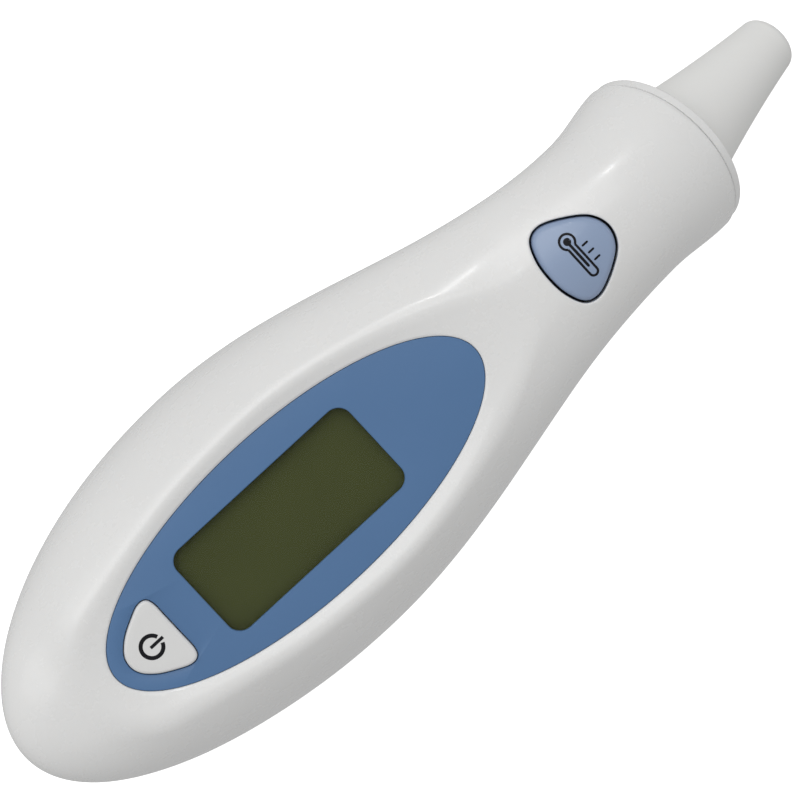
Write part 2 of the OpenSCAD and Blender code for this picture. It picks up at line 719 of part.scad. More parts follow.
module test_button_seal() color([0.06, 0.08, 0.14]) placed() at_test() difference() {
    outline(test_half, -seal_squeeze, seal_end, seal_top);
    outline(test_half, -test_gap + seal_play, seal_end - past, seal_top + past);
}

module power_button() color([0.9, 0.9, 0.89]) placed() at_power() {
    outline(power_half, 0, power_end, power_top);
    outline(power_half, flange_grow, power_end - play, pocket_z - 1.5 * play);
    disc(stem_r, stem_end, power_end - play / 2);
}

module switch_body() difference() {
    block(switch_size, switch_size, pcb_top, switch_top);
    disc(plunger_r + play, switch_top - plunger_root - press - play, switch_top + past);
}
module switch_plunger() disc(plunger_r, switch_top - plunger_root, plunger_top);
module test_switch_body() color([0.2, 0.2, 0.21]) placed() at_test() switch_body();
module test_switch_plunger() color([0.8, 0.75, 0.6]) placed() at_test() switch_plunger();
module power_switch_body() color([0.2, 0.2, 0.21]) placed() at_power() switch_body();
module power_switch_plunger() color([0.8, 0.75, 0.6]) placed() at_power() switch_plunger();

// --- battery -------------------------------------------------------------------------------
module cell_can() color([0.78, 0.78, 0.78]) placed() at_cell() difference() {
    disc(cell_d / 2, cell_z, cell_top - can_rim_drop);
    disc(gasket_r, cell_z + can_floor, cell_top + past);
}
module cell_gasket() color([0.3, 0.3, 0.32]) placed() at_cell()
    ring(gasket_r, cap_disc_r, cell_z + can_floor, cell_top - can_rim_drop);
module cell_cap() color([0.7, 0.7, 0.7]) placed() at_cell()
    disc(cap_disc_r, cell_z + can_floor, cell_top);

module positive_contact() color([0.8, 0.8, 0.82]) placed() at_cell() translate([cell_d / 2, 0, 0]) {
    translate([0.6 * sheet, 0, 0]) block(sheet, plus_w, plus_end, pcb_under);
    translate([plus_foot / 2, 0, 0]) block(plus_foot, plus_w, pcb_under - sheet, pcb_under);
}
module negative_contact() color([0.8, 0.8, 0.82]) placed() at_cell() {
    disc(minus_pad_r, cell_top, cell_top + 2 * sheet);
    block(minus_w, minus_w, cell_top + 2 * sheet, cell_top + 3 * sheet);
    translate([(minus_w - sheet) / 2, 0, 0]) block(sheet, minus_w, cell_top + 2 * sheet, pcb_under);
    translate([minus_foot_x, 0, 0]) block(minus_hole, minus_w, pcb_under - sheet, pcb_under);
}

// --- fasteners -----------------------------------------------------------------------------
slot_w = 0.4;
slot_depth = 0.5;
module cross_slot(r, z) for (a = [0, 90]) rotate(a) block(1.3 * r, slot_w, z - past, z + slot_depth);
module screw(r, cap, cap_h, seat, end) difference() {
    union() {
        disc(r, seat, end);
        disc(cap, seat - cap_h, seat);
    }
    cross_slot(cap, seat - cap_h);
}
module case_screws() color([0.7, 0.7, 0.72]) placed() at_each(case_holes)
    screw(screw_r, head_r, head_h, head_seat, screw_end);
module pcb_screws() color([0.7, 0.7, 0.72]) placed() at_each(pcb_holes)
    screw(pcb_screw_r, pcb_head_r, pcb_head_h, pcb_under, pcb_screw_end);

front_shell();
rear_shell();
head_cap();
probe_cone();
probe_window();
waveguide();
sensor_holder();
sensor_can();
sensor_pins();
sensor_flex();
probe_seal();
display_panel();
display_lens();
lcd_front_polariser();
lcd_front_glass();
lcd_rear_glass();
lcd_rear_polariser();
lcd_frame();
zebra_strip();
main_pcb();
controller_chip();
memory_chip();
smd_parts();
timing_crystal();
buzzer_disc();
buzzer_ceramic();
test_button();
test_button_seal();
test_switch_body();
test_switch_plunger();
power_button();
power_switch_body();
power_switch_plunger();
battery_cover();
cell_can();
cell_gasket();
cell_cap();
positive_contact();
negative_contact();
case_screws();
pcb_screws();
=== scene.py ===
import json
import math

import bmesh
import bpy
from mathutils import Matrix, Vector


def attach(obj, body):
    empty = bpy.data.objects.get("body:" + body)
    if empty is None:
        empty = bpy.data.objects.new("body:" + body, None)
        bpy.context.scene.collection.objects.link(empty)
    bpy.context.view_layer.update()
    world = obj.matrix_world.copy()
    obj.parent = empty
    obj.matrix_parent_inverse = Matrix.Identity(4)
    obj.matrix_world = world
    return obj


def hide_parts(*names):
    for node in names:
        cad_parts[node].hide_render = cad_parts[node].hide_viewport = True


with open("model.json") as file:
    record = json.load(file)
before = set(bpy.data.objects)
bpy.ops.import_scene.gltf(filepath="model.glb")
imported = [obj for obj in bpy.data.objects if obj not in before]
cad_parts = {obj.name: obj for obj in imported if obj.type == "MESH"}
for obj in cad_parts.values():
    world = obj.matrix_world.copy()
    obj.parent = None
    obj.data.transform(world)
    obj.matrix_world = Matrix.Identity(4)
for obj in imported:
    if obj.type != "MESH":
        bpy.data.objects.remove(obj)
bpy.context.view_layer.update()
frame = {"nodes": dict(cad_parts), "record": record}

MM = 0.001

# ------------------------------------------------------------------ the part's own dimensions
# Millimetres, from the middle of the display panel, as in part.scad.
BODY_W, TAIL_L, WALL, DISPLAY_Z = 45.6, 47.8, 2.0, 33.3
NECK_R, RIM_R, HEAD_TILT = 12.2, 13.2, 30.0
PANEL_A, PANEL_B = 33.7, 12.4
WINDOW_L, WINDOW_W, WINDOW_R, WINDOW_X = 32.4, 14.8, 2.2, -1.2
TEST_X, POWER_X = 53.0, -26.5
PROBE_L, TIP_R, PROBE_BASE_R = 26.4, 4.4, 8.6
DISPLAY_X = -22.58
WIDEST_U, WAIST_U, BEND_U, BEND_R, RIM_STRAIGHT = -3.0, 61.5, 48.6, 41.0, 2.0
ARC_END_U = BEND_U + BEND_R * math.radians(HEAD_TILT)
RIM_U = ARC_END_U + RIM_STRAIGHT
BELLY_Z, NECK_Z, TAIL_RISE, TAIL_RISE_FROM = -15.7, -9.7, 0.008, -14.0
CROWN_H, NECK_CROWN_H, CROWN_END = 21.3, 10.2, 47.0
TAIL_DROP, TAIL_DROP_FROM, TAIL_DROP_L = 0.13, -32.0, 9.0
TAIL_FRONT_POWER, TAIL_BACK_POWER = 0.6, 0.55
BACK_Z, NECK_BACK_Z, BACK_FROM, BACK_TO = -34.1, -23.4, 10.0, 50.0
AXIS_FROM, AXIS_TO = -6.0, 40.0
FRONT_POWER, BACK_POWER, ROUND_FROM, ROUND_TO = 2.05, 2.2, 20.0, 45.0
PART_ANGLE, FLAT_Z = 10.0, -DISPLAY_Z
DISH_SLOPE, DISH_FALL, DISH_FALL_FROM, DISH_FALL_L = 4.5, 3.6, 22.0, 30.0
DISH_END, DISH_FLOOR = 48.4, 3.2
PANEL_TOP, POCKET_Z, LENS_TOP, LENS_GROW = -0.15, -1.75, -0.95, 1.7
CELL_X, CELL_R, COVER_R, COVER_TOP, TAB_AT = -8.0, 10.0, 12.4, -31.1, 11.8
CASE_HOLES = ((-40.5, 0.0), (29.0, 10.5), (29.0, -10.5))
TEST_HALF = ((-5.4, 0), (-5.05, 3.2), (-3.75, 5.9), (-1.4, 6.55), (1.9, 5.15), (4.9, 2.9), (5.95, 0))
POWER_HALF = (
    (-4.65, 0), (-4.15, 1.7), (-2.5, 3.35), (-0.35, 4.6), (1.7, 5.5), (3.05, 5.35), (3.6, 4.2), (3.64, 2.1),
    (3.64, 0),
)
TEST_GAP, POWER_GAP = 0.35, 0.15
DOME_TOP, DOME_LONG_R, DOME_CROSS_R = 0.85, 30.0, 13.0
POWER_TOP = 0.45
SOFT_CREASE, NECK_CREASE, CREASE_FROM, CREASE_L = 1.3, 0.5, 28.0, 12.0


def clamp01(a):
    return max(0.0, min(1.0, a))


def ease(a):
    c = clamp01(a)
    return c * c * (3 - 2 * c)


def mix(a, b, t):
    return a + (b - a) * t


def swell(a, n):
    return math.copysign(abs(a) ** (2 / n), a)


def soft_min(a, b, k):
    h = clamp01(0.5 + 0.5 * (b - a) / k)
    return mix(b, a, h) - k * h * (1 - h)


def tail_k(u, inset):
    """1 at the widest station, 0 at the tail's end."""
    return max(0.0, 1 - ((WIDEST_U - u) / (TAIL_L - inset)) ** 2)


# u is a station along the body's bending axis and inset a distance in from the outer skin.
def half_w(u, inset):
    if u < WIDEST_U:
        return (BODY_W / 2 - inset) * math.sqrt(tail_k(u, inset))
    if u < WAIST_U:
        wave = (1 - math.cos(math.pi * (u - WIDEST_U) / (WAIST_U - WIDEST_U))) / 2
        return mix(BODY_W / 2, NECK_R, wave) - inset
    return mix(NECK_R, RIM_R, ease((u - WAIST_U) / (RIM_U - WAIST_U))) - inset


def axis_z(u):
    if u < TAIL_RISE_FROM:
        return BELLY_Z + TAIL_RISE * (u - TAIL_RISE_FROM) ** 2
    return mix(BELLY_Z, NECK_Z, ease((u - AXIS_FROM) / (AXIS_TO - AXIS_FROM)))


def front_h(u, inset):
    if u < WIDEST_U:
        drop = 1 - TAIL_DROP * ease((TAIL_DROP_FROM - u) / TAIL_DROP_L)
        return (CROWN_H - inset) * tail_k(u, inset) ** TAIL_FRONT_POWER * drop
    if u < BEND_U:
        return mix(CROWN_H, NECK_CROWN_H, ease(u / CROWN_END)) - inset
    return mix(NECK_CROWN_H, RIM_R, ease((u - BEND_U) / (RIM_U - BEND_U))) - inset


def back_h(u, inset):
    if u < WIDEST_U:
        return (BELLY_Z - BACK_Z - inset) * tail_k(u, inset) ** TAIL_BACK_POWER
    if u < BEND_U:
        return axis_z(u) - mix(BACK_Z, NECK_BACK_Z, ease((u - BACK_FROM) / (BACK_TO - BACK_FROM))) - inset
    return mix(NECK_Z - NECK_BACK_Z, RIM_R, ease((u - BEND_U) / (RIM_U - BEND_U))) - inset


def turn(u):
    """Angle by which the axis has bent back at station u."""
    return 0.0 if u < BEND_U else min(math.radians(HEAD_TILT), (u - BEND_U) / BEND_R)


def axis_point(u):
    if u < BEND_U:
        return u, axis_z(u)
    t, s, a = turn(u), max(0.0, u - ARC_END_U), math.radians(HEAD_TILT)
    return (
        BEND_U + BEND_R * math.sin(t) + s * math.cos(a),
        NECK_Z - BEND_R * (1 - math.cos(t)) - s * math.sin(a),
    )


def dish_z(x, y):
    """Height of the sunk dish around the panel: it rises outwards from the panel's oval."""
    oval = math.hypot(x / PANEL_A, y / PANEL_B)
    return max(0.0, oval - 1) * (DISH_SLOPE - DISH_FALL * ease((abs(x) - DISH_FALL_FROM) / DISH_FALL_L))


def section_power(u, front):
    """How square the section is at station u: 2 is an ellipse."""
    return mix(FRONT_POWER if front else BACK_POWER, 2, ease((u - ROUND_FROM) / (ROUND_TO - ROUND_FROM)))


def bare_skin(u, v, inset):
    """A point of the skin before the dish and the flat are cut."""
    a = math.radians(v)
    n = section_power(u, math.sin(a) > 0)
    y = half_w(u, inset) * swell(math.cos(a), n)
    h = (front_h(u, inset) if math.sin(a) > 0 else back_h(u, inset)) * swell(math.sin(a), n)
    p, t = axis_point(u), turn(u)
    return p[0] + h * math.sin(t), y, p[1] + h * math.cos(t)


def skin(u, v, inset=0.0):
    """A point of the skin at station u and angle v, with the dish and the flat back cut."""
    x, y, z = bare_skin(u, v, inset)
    if x < DISH_END:
        if inset < 1:
            softness = mix(SOFT_CREASE, NECK_CREASE, ease((x - CREASE_FROM) / CREASE_L))
            z = soft_min(z, dish_z(x, y) - inset, softness)
        else:
            z = min(z, dish_z(x, y) - DISH_FLOOR)
        if v > 180 or v < 0:
            z = max(FLAT_Z + inset, z)
    return x, y, z


RIM_X, RIM_Z = axis_point(RIM_U)


# ------------------------------------------------------------------ mesh helpers
WELD, SLIVER = 0.000001, 0.0000001


def mesh_object(name, verts, faces, spot=(0.0, 0.0, 0.0), weld=WELD):
    """A mesh from points in millimetres from the panel's middle."""
    mesh = bpy.data.meshes.new(name)
    move = Vector((DISPLAY_X + spot[0], spot[1], DISPLAY_Z + spot[2]))
    mesh.from_pydata([tuple((Vector(v) + move) * MM) for v in verts], [], faces)
    obj = bpy.data.objects.new(name, mesh)
    bpy.context.scene.collection.objects.link(obj)
    tidy_mesh(obj, weld)
    return obj


def tidy_mesh(obj, weld):
    bm = bmesh.new()
    bm.from_mesh(obj.data)
    bmesh.ops.remove_doubles(bm, verts=bm.verts, dist=weld)
    bmesh.ops.dissolve_degenerate(bm, edges=bm.edges, dist=weld)
    bmesh.ops.recalc_face_normals(bm, faces=bm.faces)
    bm.to_mesh(obj.data)
    bm.free()


def smooth(obj, angle=32):
    """Clear the slivers that the booleans leave, then shade smooth with sharp edges."""
    bm = bmesh.new()
    bm.from_mesh(obj.data)
    bmesh.ops.remove_doubles(bm, verts=bm.verts, dist=SLIVER)
    bmesh.ops.dissolve_degenerate(bm, edges=bm.edges, dist=SLIVER)
    bmesh.ops.holes_fill(bm, edges=[edge for edge in bm.edges if edge.is_boundary], sides=8)
    bmesh.ops.delete(bm, geom=[edge for edge in bm.edges if edge.is_wire], context="EDGES")
    bm.to_mesh(obj.data)
    bm.free()
    for face in obj.data.polygons:
        face.use_smooth = True
    obj.data.set_sharp_from_angle(angle=math.radians(angle))


def apply_boolean(obj, other, how):
    step = obj.modifiers.new("cut", "BOOLEAN")
    step.operation, step.object, step.solver = how, other, "EXACT"
    made = bpy.data.meshes.new_from_object(obj.evaluated_get(bpy.context.evaluated_depsgraph_get()))
    obj.modifiers.clear()
    old = obj.data
    obj.data = made
    bpy.data.meshes.remove(old)
    bpy.data.objects.remove(other)


def together(*others):
    """One object out of several that don't touch."""
    bm = bmesh.new()
    for other in others:
        bm.from_mesh(other.data)
    bm.to_mesh(others[0].data)
    bm.free()
    for other in others[1:]:
        bpy.data.objects.remove(other)
    return others[0]


def cut(obj, *others):
    for other in others:
        apply_boolean(obj, other, "DIFFERENCE")


def join(obj, *others):
    for other in others:
        apply_boolean(obj, other, "UNION")


def rows_to_faces(rows, cols, closed=False, first=0):
    made = []
    for i in range(rows - 1):
        for j in range(cols if closed else cols - 1):
            a, b = first + i * cols + j, first + i * cols + (j + 1) % cols
            made.append((a, b, b + cols, a + cols))
    return made


def loft(name, rings, spot=(0.0, 0.0, 0.0)):
    """Closed rings of the same number of points, joined in order, with a fan at each end."""
    cols = len(rings[0])
    verts = [p for ring in rings for p in ring]
    faces = rows_to_faces(len(rings), cols, True)
    for start, ring in ((0, rings[0]), (len(verts) - cols, rings[-1])):
        centre = len(verts)
        verts.append(tuple(sum(p[k] for p in ring) / cols for k in range(3)))
        faces += [(centre, start + j, start + (j + 1) % cols) for j in range(cols)]
    return mesh_object(name, verts, faces, spot)


def oval_loop(a, b, count=240):
    return [(a * math.cos(math.tau * i / count), b * math.sin(math.tau * i / count)) for i in range(count)]


def round_loop(r, count=128):
    return oval_loop(r, r, count)


def lathe(name, profile, place, count=128, closed=False):
    """Turns a profile of (radius, height) points about place's Z. A closed profile is a ring's section."""
    rings = [
        [tuple(place @ Vector((x, y, z))) for x, y in round_loop(max(r, 0.0001), count)] for r, z in profile
    ]
    if not closed:
        return loft(name, rings)
    faces = rows_to_faces(len(rings), count, True)
    last = (len(rings) - 1) * count
    faces += [(last + j, last + (j + 1) % count, (j + 1) % count, j) for j in range(count)]
    return mesh_object(name, [p for ring in rings for p in ring], faces)


def between(a, b, c, d, t):
    """A smooth curve from b to c, steered by the points before and after them."""
    return 0.5 * (2 * b + (c - a) * t + (2 * a - 5 * b + 4 * c - d) * t * t + (3 * b - a - 3 * c + d) * t**3)


def smooth_loop(half, steps=12):
    """A smooth closed outline through half an outline and its mirror image."""
    pts = list(half) + [(x, -y) for x, y in reversed(half[1:-1])]
    n, made = len(pts), []
    for i in range(n):
        near = pts[i - 1], pts[i], pts[(i + 1) % n], pts[(i + 2) % n]
        for k in range(steps):
            made.append(tuple(between(*[p[m] for p in near], k / steps) for m in range(2)))
    return made


def offset_loop(loop, g):
    """A closed loop moved outwards by g along its own normals."""
    n, made = len(loop), []
    for i in range(n):
        a, b = loop[i - 1], loop[(i + 1) % n]
        tx, ty = b[0] - a[0], b[1] - a[1]
        k = math.hypot(tx, ty) or 1.0
        nx, ny = ty / k, -tx / k
        if nx * loop[i][0] + ny * loop[i][1] < 0:
            nx, ny = -nx, -ny
        made.append((loop[i][0] + g * nx, loop[i][1] + g * ny))
    return made


def block_loop(length, width):
    return [(sx * length / 2, sy * width / 2) for sx, sy in ((1, 1), (-1, 1), (-1, -1), (1, -1))]


def plate_loop(length, width, r, steps=14):
    made = []
    for k, (sx, sy) in enumerate(((1, 1), (-1, 1), (-1, -1), (1, -1))):
        for i in range(steps + 1):
            a = math.radians(90 * k + 90 * i / steps)
            made.append((sx * (length / 2 - r) + r * math.cos(a), sy * (width / 2 - r) + r * math.sin(a)))
    return made


def at_height(loop, z):
    return [(x, y, z) for x, y in loop]


def quarter(steps, first=0):
    """Angles of a quarter turn, for rounded edges."""
    return [math.pi / 2 * k / steps for k in range(first, steps + 1)]


# ------------------------------------------------------------------ surface materials
def node(tree, kind, **values):
    made = tree.nodes.new(kind)
    for key, value in values.items():
        if key in made.inputs:
            made.inputs[key].default_value = value
        else:
            setattr(made, key, value)
    return made


def surface(
    name, colour, rough=0.4, metal=0.0, spread=0.03, grain=900.0, bump=0.05, blotch=35.0, coat=0.0, alpha=1.0,
    rough_spread=0.06, subsurface=0.0, specular=0.5, scratch=0.0,
):
    """A moulded or metal surface: colour that drifts slowly, fine grain in bump, wear in roughness."""
    mat = bpy.data.materials.new(name)
    mat.use_nodes = True
    tree = mat.node_tree
    shader = tree.nodes["Principled BSDF"]
    shader.inputs["Metallic"].default_value = metal
    shader.inputs["Coat Weight"].default_value = coat
    shader.inputs["Coat Roughness"].default_value = 0.12
    shader.inputs["Alpha"].default_value = alpha
    shader.inputs["Specular IOR Level"].default_value = specular
    if subsurface:
        shader.inputs["Subsurface Weight"].default_value = subsurface
        shader.inputs["Subsurface Radius"].default_value = (0.0012, 0.0011, 0.001)
        shader.inputs["Subsurface Scale"].default_value = 1.0
    coords = node(tree, "ShaderNodeTexCoord")
    drift = node(tree, "ShaderNodeTexNoise", Scale=blotch, Detail=3.0, Roughness=0.55)
    tree.links.new(coords.outputs["Object"], drift.inputs["Vector"])
    fine = node(tree, "ShaderNodeTexNoise", Scale=grain, Detail=4.0, Roughness=0.6)
    tree.links.new(coords.outputs["Object"], fine.inputs["Vector"])
    ramp = tree.nodes.new("ShaderNodeValToRGB")
    ramp.color_ramp.elements[0].position, ramp.color_ramp.elements[1].position = 0.3, 0.7
    low = [max(0.0, c * (1 - spread)) for c in colour]
    high = [min(1.0, c * (1 + spread)) for c in colour]
    ramp.color_ramp.elements[0].color = (*low, 1)
    ramp.color_ramp.elements[1].color = (*high, 1)
    tree.links.new(drift.outputs["Fac"], ramp.inputs["Fac"])
    tree.links.new(ramp.outputs["Color"], shader.inputs["Base Color"])
    worn = node(tree, "ShaderNodeTexNoise", Scale=blotch * 6, Detail=5.0, Roughness=0.65)
    tree.links.new(coords.outputs["Object"], worn.inputs["Vector"])
    span = node(tree, "ShaderNodeMapRange")
    span.inputs["From Min"].default_value, span.inputs["From Max"].default_value = 0.3, 0.7
    span.inputs["To Min"].default_value = max(0.02, rough - rough_spread)
    span.inputs["To Max"].default_value = min(1.0, rough + rough_spread)
    tree.links.new(worn.outputs["Fac"], span.inputs["Value"])
    tree.links.new(span.outputs["Result"], shader.inputs["Roughness"])
    relief = node(tree, "ShaderNodeBump", Strength=bump, Distance=0.00002)
    tree.links.new(fine.outputs["Fac"], relief.inputs["Height"])
    if scratch:
        lines = node(tree, "ShaderNodeTexNoise", Scale=40.0, Detail=2.0)
        stretch = node(tree, "ShaderNodeMapping")
        stretch.inputs["Scale"].default_value = (1.0, 40.0, 1.0)
        tree.links.new(coords.outputs["Object"], stretch.inputs["Vector"])
        tree.links.new(stretch.outputs["Vector"], lines.inputs["Vector"])
        second = node(tree, "ShaderNodeBump", Strength=scratch, Distance=0.00003)
        tree.links.new(lines.outputs["Fac"], second.inputs["Height"])
        tree.links.new(relief.outputs["Normal"], second.inputs["Normal"])
        tree.links.new(second.outputs["Normal"], shader.inputs["Normal"])
    else:
        tree.links.new(relief.outputs["Normal"], shader.inputs["Normal"])
    return mat


def srgb(r, g, b):
    def one(c):
        c /= 255
        return c / 12.92 if c <= 0.04045 else ((c + 0.055) / 1.055) ** 2.4

    return one(r), one(g), one(b)


WHITE = dict(rough=0.27, spread=0.012, grain=1400.0, bump=0.06, coat=0.15, subsurface=0.08, rough_spread=0.04)
MATS = {
    "shell": surface("shell_abs", srgb(232, 232, 231), **WHITE),
    "cap": surface("cap_abs", srgb(231, 231, 230), **WHITE),
    "cover": surface("cover_abs", srgb(231, 231, 229), **WHITE),
    "probe": surface(
        "probe_abs", srgb(233, 233, 231), rough=0.6, spread=0.02, grain=1600.0, bump=0.12, subsurface=0.08
    ),
    "probe_window": surface("probe_film", (0.3, 0.34, 0.38), rough=0.12, alpha=0.55, bump=0.02, spread=0.05),
    "gilt": surface("gilt", (0.78, 0.56, 0.22), rough=0.2, metal=1.0, bump=0.08, scratch=0.2),
    "sensor_metal": surface("sensor_metal", (0.6, 0.61, 0.63), rough=0.35, metal=1.0, scratch=0.3),
    "can_steel": surface("can_steel", (0.62, 0.58, 0.5), rough=0.25, metal=1.0, scratch=0.15),
    "flex": surface("flex_film", (0.55, 0.22, 0.04), rough=0.3, spread=0.08),
    "seal": surface("seal_rubber", (0.012, 0.014, 0.03), rough=0.55, spread=0.2, bump=0.25),
    "panel": surface(
        "panel_blue", srgb(82, 119, 163), rough=0.42, spread=0.02, grain=2200.0, bump=0.16, blotch=60.0
    ),
    "lens": surface(
        "lens_clear", (0.1, 0.11, 0.11), rough=0.06, alpha=0.05, bump=0.01, spread=0.01, rough_spread=0.02,
        specular=0.2,
    ),
    "polariser_clear": surface(
        "polariser_olive", srgb(71, 77, 35), rough=0.5, spread=0.05, grain=2600.0, bump=0.005, blotch=60.0,
        specular=0.15,
    ),
    "lcd_glass": surface("lcd_glass", (0.7, 0.75, 0.7), rough=0.1, alpha=0.4, bump=0.01),
    "lcd_back": surface("lcd_back", (0.06, 0.065, 0.03), rough=0.5, spread=0.08),
    "lcd_frame": surface("lcd_frame", (0.72, 0.72, 0.7), rough=0.5),
    "zebra": surface("zebra_rubber", (0.02, 0.02, 0.022), rough=0.6, spread=0.3),
    "pcb": surface("pcb_green", (0.01, 0.1, 0.035), rough=0.35, spread=0.1, bump=0.2, coat=0.3),
    "chip": surface("chip_black", (0.01, 0.01, 0.012), rough=0.5, spread=0.2, bump=0.3),
    "smd": surface("smd_ceramic", (0.32, 0.22, 0.13), rough=0.4, spread=0.25),
    "crystal": surface("crystal_can", (0.6, 0.6, 0.62), rough=0.2, metal=1.0, scratch=0.2),
    "buzzer_brass": surface("buzzer_brass", (0.7, 0.5, 0.2), rough=0.3, metal=1.0, scratch=0.3),
    "ceramic": surface("ceramic", (0.75, 0.75, 0.73), rough=0.5),
    "test_button": surface(
        "test_blue", srgb(146, 164, 193), rough=0.36, spread=0.02, grain=1500.0, bump=0.08, coat=0.2,
        subsurface=0.05,
    ),
    "switch_body": surface("switch_black", (0.012, 0.012, 0.014), rough=0.5, spread=0.2),
    "switch_plunger": surface("switch_nylon", (0.55, 0.5, 0.36), rough=0.45),
    "power_button": surface(
        "power_white", srgb(225, 225, 224), rough=0.4, spread=0.012, grain=1500.0, bump=0.08
    ),
    "cell_steel": surface("cell_steel", (0.6, 0.6, 0.61), rough=0.28, metal=1.0, scratch=0.25, spread=0.05),
    "gasket": surface("gasket_grey", (0.04, 0.04, 0.045), rough=0.5),
    "spring_metal": surface("spring_metal", (0.68, 0.68, 0.7), rough=0.22, metal=1.0, scratch=0.2),
    "screw": surface("screw_zinc", (0.5, 0.5, 0.52), rough=0.3, metal=1.0, scratch=0.3, spread=0.06),
}
INK = surface(
    "ink_dark", (0.004, 0.004, 0.006), rough=0.5, spread=0.25, grain=1800.0, bump=0.05, specular=0.2
)


def dress(obj, slot, body, *nodes, material=None):
    obj.data.materials.clear()
    obj.data.materials.append(material or MATS[slot])
    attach(obj, body)
    if nodes:
        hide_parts(*nodes)


for name, obj in frame["nodes"].items():
    slot = next(s["material_slot"] for s in frame["record"]["subparts"] if s["node"] == name)
    obj.data.materials.clear()
    obj.data.materials.append(MATS[slot])

# ------------------------------------------------------------------ the two shells
TAIL_ROWS, BODY_ROWS, NECK_ROWS, EDGE = 96, 150, 64, 0.22
# Steps of a rounded long edge, in widths of EDGE, and the half width below which it narrows.
EDGE_STEPS, NARROW = (0.0, 0.08, 0.3, 0.62), 4.0
# Angle of the line of points that follows the crease, where the dish reaches and past its ends.
CREASE_MAX, TAIL_ANGLE, TAIL_BLEND, NECK_ANGLE, NECK_BLEND = 80.0, 55.0, 5.0, 50.0, 14.0
GATHER = 1.7


def stations(inset):
    return (
        [WIDEST_U - (TAIL_L - inset) * math.cos(math.pi / 2 * i / TAIL_ROWS) for i in range(1, TAIL_ROWS + 1)]
        + [mix(WIDEST_U, BEND_U, i / BODY_ROWS) for i in range(1, BODY_ROWS + 1)]
        + [mix(BEND_U, RIM_U, i / NECK_ROWS) for i in range(1, NECK_ROWS + 1)]
    )


def crease_angle(u):
    """Angle at which the dish starts at station u, or None where it doesn't reach."""

    def over(v):
        x, y, z = bare_skin(u, v, 0)
        return z - dish_z(x, y) if x < DISH_END else -1.0

    if over(90) <= 0:
        return None
    low, high = 5.0, 90.0
    for _ in range(30):
        middle = (low + high) / 2
        if over(middle) > 0:
            high = middle
        else:
            low = middle
    return high


def edge_angles(u, start):
    """Angles of the points that round the long edge at station u."""
    tight = math.degrees(EDGE / max(half_w(u, 0), NARROW))
    return [start + tight * k for k in (*EDGE_STEPS, 1)]


def front_angles(us, below=46, above=26):
    """For each station, angles from the parting line to the middle, with one line on the crease."""
    found = [crease_angle(u) for u in us]
    wanted = [min(CREASE_MAX, a) if a else CREASE_MAX for a in found]
    first = next(i for i, a in enumerate(found) if a)
    last = len(found) - 1 - next(i for i, a in enumerate(reversed(found)) if a)
    for i, u in enumerate(us):
        if i < first:
            wanted[i] = mix(CREASE_MAX, TAIL_ANGLE, ease((us[first] - u) / TAIL_BLEND))
        elif i > last:
            wanted[i] = mix(CREASE_MAX, NECK_ANGLE, ease((u - us[last]) / NECK_BLEND))
    made = []
    for a, u in zip(wanted, us):
        row = edge_angles(u, -PART_ANGLE)
        start = row[-1]
        row += [mix(start, a, 1 - (1 - i / below) ** GATHER) for i in range(1, below + 1)]
        row += [mix(a, 90, (i / above) ** GATHER) for i in range(1, above + 1)]
        made.append(row + [180 - v for v in reversed(row[:-1])])
    return made


def edge_inset(k):
    """How far a rounded edge of radius EDGE is in from the face, k of EDGE away from the end."""
    k = clamp01(k)
    return EDGE * (1 - math.sqrt(1 - (1 - k) ** 2))


def shell_mesh(name, angles):
    """A closed wall between the outer and the inner skin, with rounded long edges and rim."""
    outer_us, inner_us = stations(0), stations(WALL)
    rows, cols = len(outer_us), len(angles[0])
    verts = []
    for i, (u, row) in enumerate(zip(outer_us, angles)):
        end = edge_inset((RIM_U - u) / EDGE)
        for j, v in enumerate(row):
            side = min(j, cols - 1 - j)
            tuck = edge_inset(EDGE_STEPS[side]) if side < len(EDGE_STEPS) else 0.0
            verts.append(skin(u, v, max(tuck, end) * clamp01(half_w(u, 0) / NARROW) ** 2))
    for u, row in zip(inner_us, angles):
        verts += [skin(u, v, WALL) for v in row]
    base = rows * cols
    tail_u = WIDEST_U - TAIL_L
    verts += [(tail_u, 0, axis_z(tail_u)), (tail_u + WALL, 0, axis_z(tail_u + WALL))]
    tip, last = 2 * base, (rows - 1) * cols
    faces = rows_to_faces(rows, cols) + rows_to_faces(rows, cols, first=base)
    faces += [(tip, j, j + 1) for j in range(cols - 1)]
    faces += [(tip + 1, base + j + 1, base + j) for j in range(cols - 1)]
    faces += [(last + j, last + j + 1, base + last + j + 1, base + last + j) for j in range(cols - 1)]
    for side in (0, cols - 1):
        faces += [
            (i * cols + side, (i + 1) * cols + side, base + (i + 1) * cols + side, base + i * cols + side)
            for i in range(rows - 1)
        ]
        faces.append((tip, side, base + side, tip + 1))
    return mesh_object(name, verts, faces, weld=SLIVER)


def skin_height(x, y, front=True):
    """Height of the outer skin over a point, found along the bending axis."""
    u, z = x, 0.0
    for _ in range(40):
        c = clamp01(abs(y) / half_w(u, 0)) ** (section_power(u, front) / 2)
        v = math.degrees(math.acos(c)) * (1 if front else -1)
        px, _, z = skin(u, v)
        u += (x - px) * 0.8
    return z


front_us = stations(0)
front = shell_mesh("shell_front", front_angles(front_us))


TEST_SPOT, POWER_SPOT, CELL_SPOT = (TEST_X, 0, 0), (POWER_X, 0, 0), (CELL_X, 0, 0)


def prism(name, loop, low, high, spot=(0.0, 0.0, 0.0)):
    return loft(name, [at_height(loop, low), at_height(loop, high)], spot=spot)


